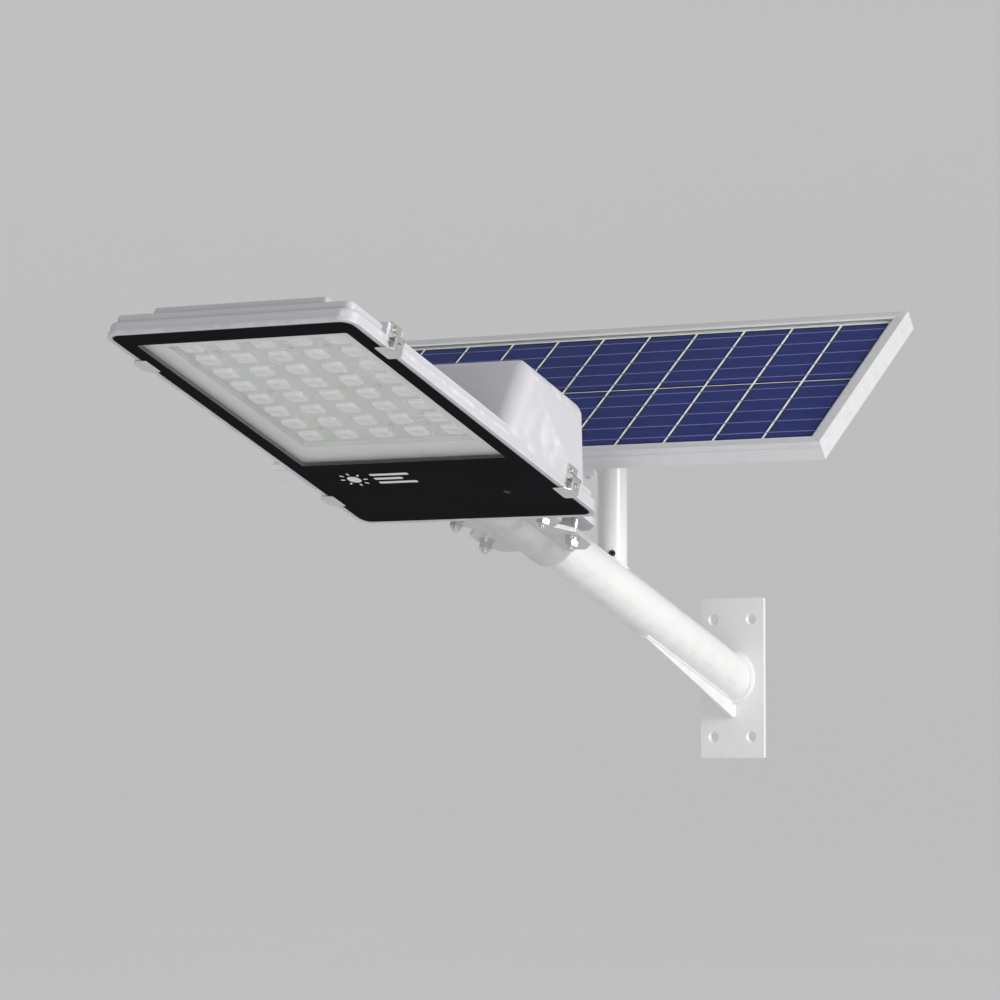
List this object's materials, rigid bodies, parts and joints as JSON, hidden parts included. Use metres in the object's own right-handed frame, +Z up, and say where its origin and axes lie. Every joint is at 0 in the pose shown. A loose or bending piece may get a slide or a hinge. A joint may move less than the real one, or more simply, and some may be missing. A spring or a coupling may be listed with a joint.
{
  "type": "solar street lamp",
  "caption": "Street lamp head with a glass cover and latches, clamped to a rising wall arm that also carries a framed solar panel on a swivel and tilt head.",
  "frame": {"origin": "centre of the wall plate's back face, where it meets the wall", "axes": "+X along the wall, +Y into the wall (the arm reaches out along -Y), +Z up"},
  "size_m": [0.664, 1.0132, 0.4669],
  "materials": {
    "arm_powder_coat": "semi-gloss white powder coat",
    "housing_grey": "satin light grey powder coat on die-cast aluminium",
    "frame_aluminium": "satin clear anodised extrusion",
    "raw_aluminium": "mill finish",
    "pressed_steel": "brushed, zinc plated",
    "galvanised_steel": "galvanised sheet",
    "stainless_steel": "bright stainless",
    "panel_glass": "low-iron toughened glass",
    "cover_glass": "toughened glass with a black ceramic border",
    "solar_cell": "blue polycrystalline silicon under glass",
    "white_sheet": "white backsheet film",
    "white_plastic": "moulded white polycarbonate",
    "black_plastic": "moulded black nylon",
    "black_rubber": "moulded rubber",
    "grey_silicone": "silicone",
    "white_board": "white solder mask on aluminium board",
    "led_yellow": "phosphor",
    "clear_lens": "frosted polycarbonate",
    "battery_wrap": "shrink wrap",
    "circuit_green": "solder mask",
    "circuit_part": "moulded components",
    "sensor_dark": "dark infra-red window"
  },
  "bodies": {
    "wall_arm": {"wall_plate": "arm_powder_coat", "arm_tube": "arm_powder_coat", "gusset_rib": "arm_powder_coat", "panel_post": "arm_powder_coat", "post_grommet": "black_rubber", "post_set_screws": "stainless_steel"},
    "swivel_head": {"swivel_yoke": "arm_powder_coat", "tilt_bolt": "stainless_steel", "tilt_washers": "stainless_steel", "tilt_nut": "stainless_steel"},
    "panel": {"frame_top": "frame_aluminium", "frame_bottom": "frame_aluminium", "frame_left": "frame_aluminium", "frame_right": "frame_aluminium", "frame_corner_keys": "raw_aluminium", "panel_glass": "panel_glass", "solar_cells": "solar_cell", "panel_backsheet": "white_sheet", "rail_left": "raw_aluminium", "rail_right": "raw_aluminium", "tilt_bracket": "galvanised_steel", "rail_bolts": "stainless_steel", "bracket_bolts": "stainless_steel", "panel_nuts": "stainless_steel", "junction_box": "black_plastic", "junction_lid": "black_plastic", "junction_gland": "black_plastic", "junction_terminals": "white_plastic"},
    "latch_near_left": {"latch_near_left": "stainless_steel"},
    "latch_near_right": {"latch_near_right": "stainless_steel"},
    "latch_far_left": {"latch_far_left": "stainless_steel"},
    "latch_far_right": {"latch_far_right": "stainless_steel"},
    "lamp_head": {"battery_cells": "battery_wrap", "battery_strap": "galvanised_steel", "cell_holders": "black_plastic", "clamp_bolts": "stainless_steel", "clamp_nuts": "stainless_steel", "clamp_plate": "pressed_steel", "clamp_spring_washers": "stainless_steel", "clamp_washers": "stainless_steel", "controller_board": "circuit_green", "controller_case": "black_plastic", "controller_parts": "circuit_part", "cover_gasket": "grey_silicone", "cover_glass": "cover_glass", "engine_screws": "stainless_steel", "gear_plate": "galvanised_steel", "gear_screws": "stainless_steel", "gland_lock_nut": "black_plastic", "lamp_gland": "black_plastic", "lamp_housing": "housing_grey", "latch_bases": "stainless_steel", "latch_pins": "stainless_steel", "latch_screws": "stainless_steel", "led_board": "white_board", "led_chips": "led_yellow", "lens_plate": "clear_lens", "reflector_tray": "white_plastic", "remote_sensor": "sensor_dark", "sensor_sleeve": "black_plastic"}
  },
  "joints": [
    {"name": "panel_swivel", "type": "hinge", "parent": "wall_arm", "child": "swivel_head", "pos_m": [0, -0.277, 0.232], "axis": [0, 0, 1], "range_deg": [-25, 25]},
    {"name": "panel_tilt", "type": "hinge", "parent": "swivel_head", "child": "panel", "pos_m": [0, -0.277, 0.258], "axis": [1, 0, 0], "range_deg": [-36, 8]},
    {"name": "lamp_roll", "type": "hinge", "parent": "wall_arm", "child": "lamp_head", "pos_m": [0, -0.50329, 0.17157], "axis": [0, -0.9455, 0.3256], "range_deg": [-15, 15]},
    {"name": "latch_near_left_hinge", "type": "hinge", "parent": "lamp_head", "child": "latch_near_left", "pos_m": [-0.1462, -0.60973, 0.18496], "axis": [0, 0.9455, -0.3256], "range_deg": [0, 100]},
    {"name": "latch_near_right_hinge", "type": "hinge", "parent": "lamp_head", "child": "latch_near_right", "pos_m": [0.1462, -0.60973, 0.18496], "axis": [0, -0.9455, 0.3256], "range_deg": [0, 100]},
    {"name": "latch_far_left_hinge", "type": "hinge", "parent": "lamp_head", "child": "latch_far_left", "pos_m": [-0.1462, -0.93783, 0.29793], "axis": [0, 0.9455, -0.3256], "range_deg": [0, 100]},
    {"name": "latch_far_right_hinge", "type": "hinge", "parent": "lamp_head", "child": "latch_far_right", "pos_m": [0.1462, -0.93783, 0.29793], "axis": [0, -0.9455, 0.3256], "range_deg": [0, 100]}
  ]
}
